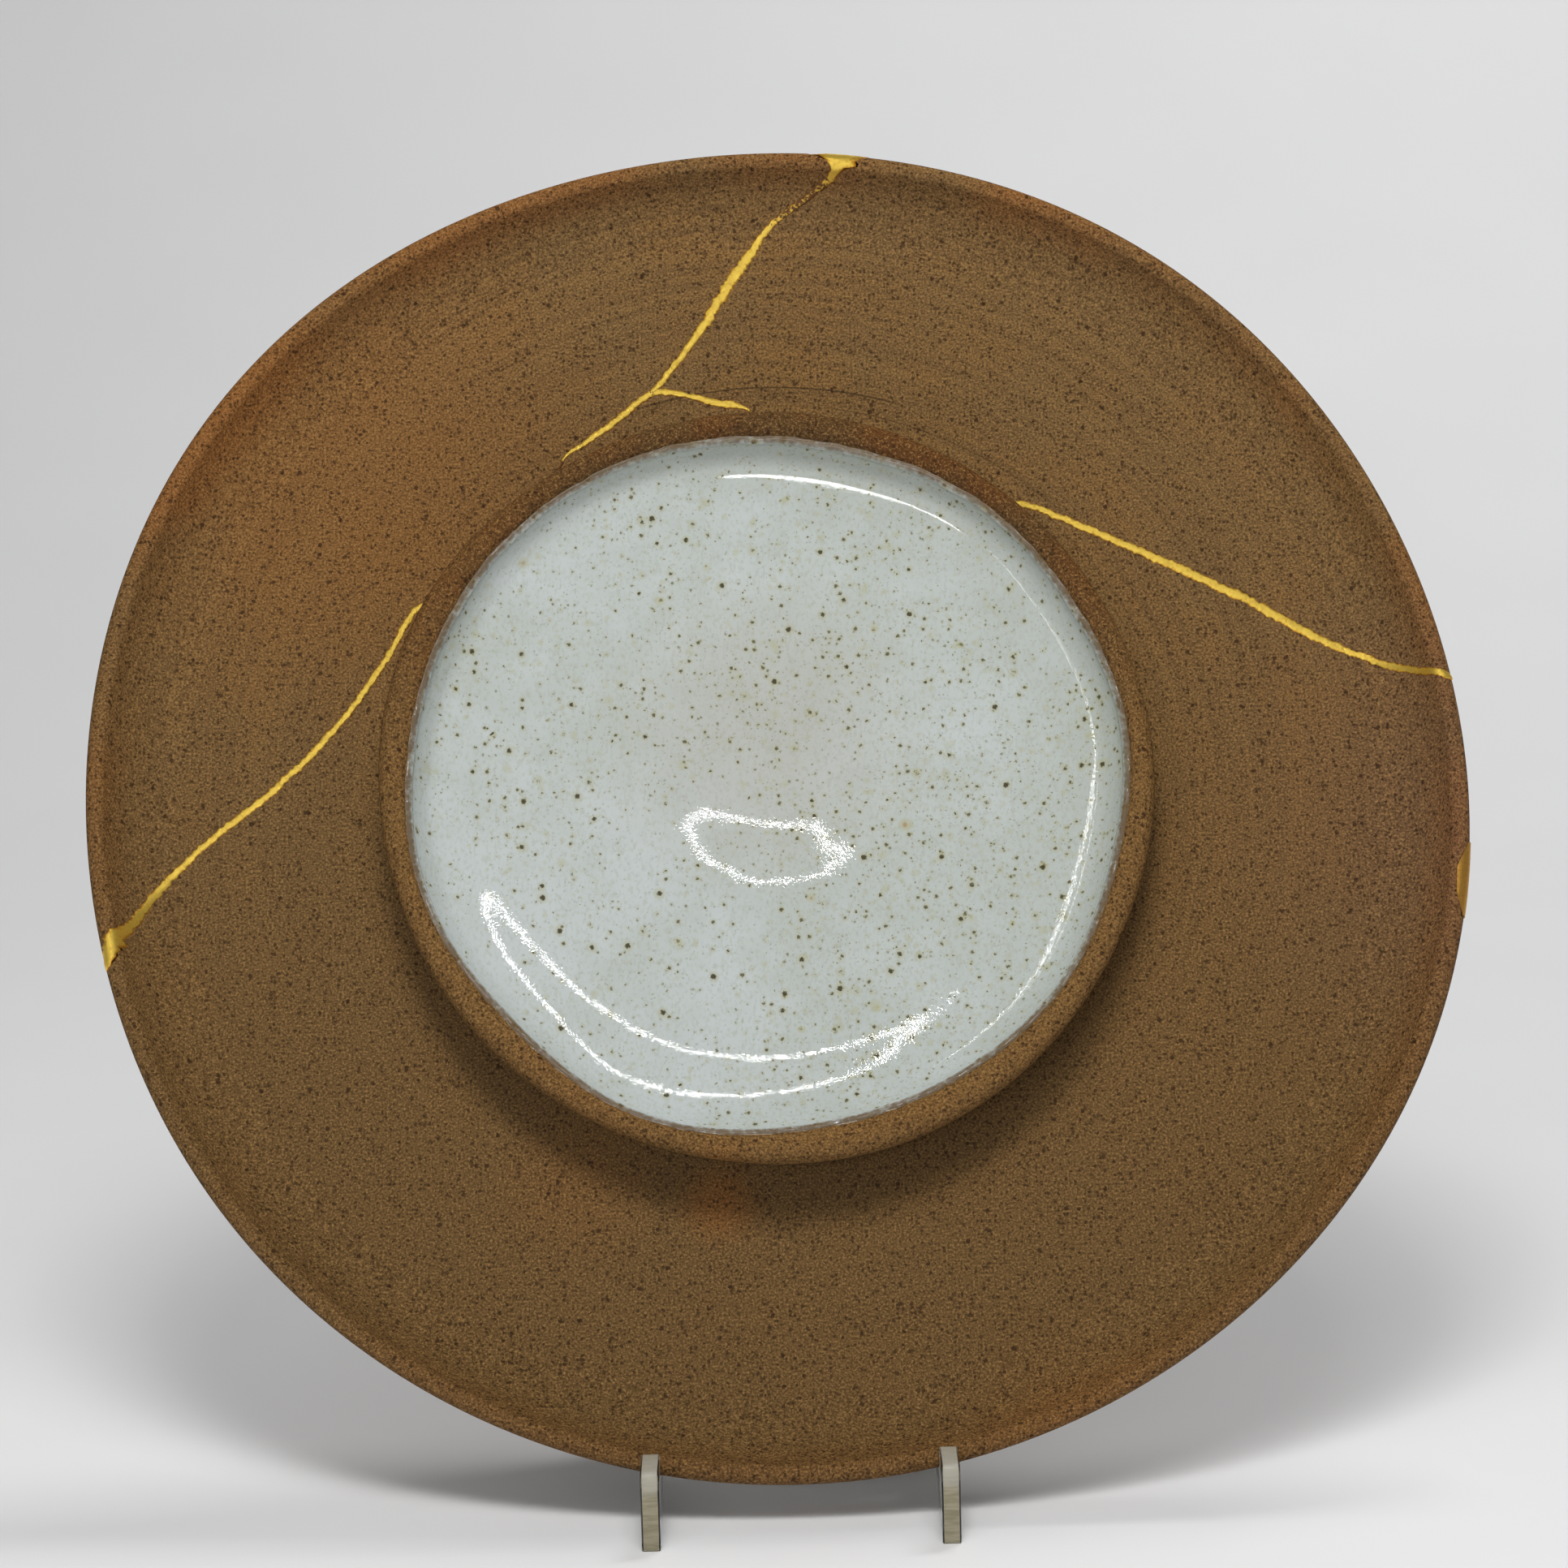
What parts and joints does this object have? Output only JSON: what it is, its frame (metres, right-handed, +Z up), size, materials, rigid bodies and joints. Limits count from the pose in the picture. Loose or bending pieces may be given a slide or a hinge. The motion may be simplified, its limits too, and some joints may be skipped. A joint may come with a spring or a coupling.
{
  "type": "mended stoneware plate with dish on display stand",
  "caption": "Round stoneware plate with a raised glazed dish in its middle, mended with gold lacquer seams, leaning on a clear acrylic display stand.",
  "frame": {"origin": "on the table, under the middle of the whole object's box", "axes": "+X to the right across the plate as its face is looked at, +Y to the back, +Z up; the plate's face looks towards -Y and a little up"},
  "size_m": [0.3092, 0.153, 0.291],
  "materials": {
    "stoneware": "unglazed toasted stoneware with fine iron specks, matt; the dish is glazed pale blue-grey inside",
    "pale_glaze": "glossy pale blue-grey glaze with iron specks, inside the dish",
    "gold_lacquer": "gold-dusted lacquer, satin, slightly raised",
    "dull_gold_lacquer": "thin gold-dusted lacquer, duller and browner",
    "acrylic": "clear acrylic sheet, polished faces, sawn edges frosted"
  },
  "bodies": {
    "root": {"main_shard_with_dish": "stoneware", "upper_left_shard": "stoneware", "upper_right_shard": "stoneware", "gold_lacquer_seam": "gold_lacquer", "gold_rim_fill": "dull_gold_lacquer", "stand_side_left": "acrylic", "stand_side_right": "acrylic", "stand_upper_cross_bar": "acrylic", "stand_lower_cross_bar": "acrylic"}
  },
  "joints": []
}
